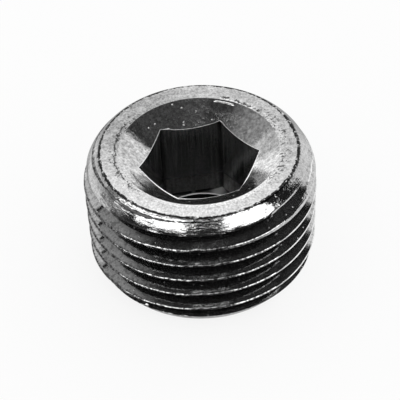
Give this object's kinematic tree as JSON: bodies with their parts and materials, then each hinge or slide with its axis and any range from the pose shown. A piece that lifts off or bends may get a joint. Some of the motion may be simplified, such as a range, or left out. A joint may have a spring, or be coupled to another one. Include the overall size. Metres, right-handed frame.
{
  "type": "hex socket pipe plug",
  "caption": "Short taper-thread pipe plug with a flat underside, a rounded shoulder and a countersunk hex socket, turned and broached from one piece of bright steel.",
  "frame": {"origin": "centre of the flat underside, on the thread's axis", "axes": "+Z along the thread's axis, out of the socket's mouth; +X through a corner of the hex socket"},
  "size_m": [0.021, 0.021, 0.0125],
  "materials": {
    "steel": "bright turned and threaded"
  },
  "bodies": {
    "root": {"socket_plug": "steel"}
  },
  "joints": []
}
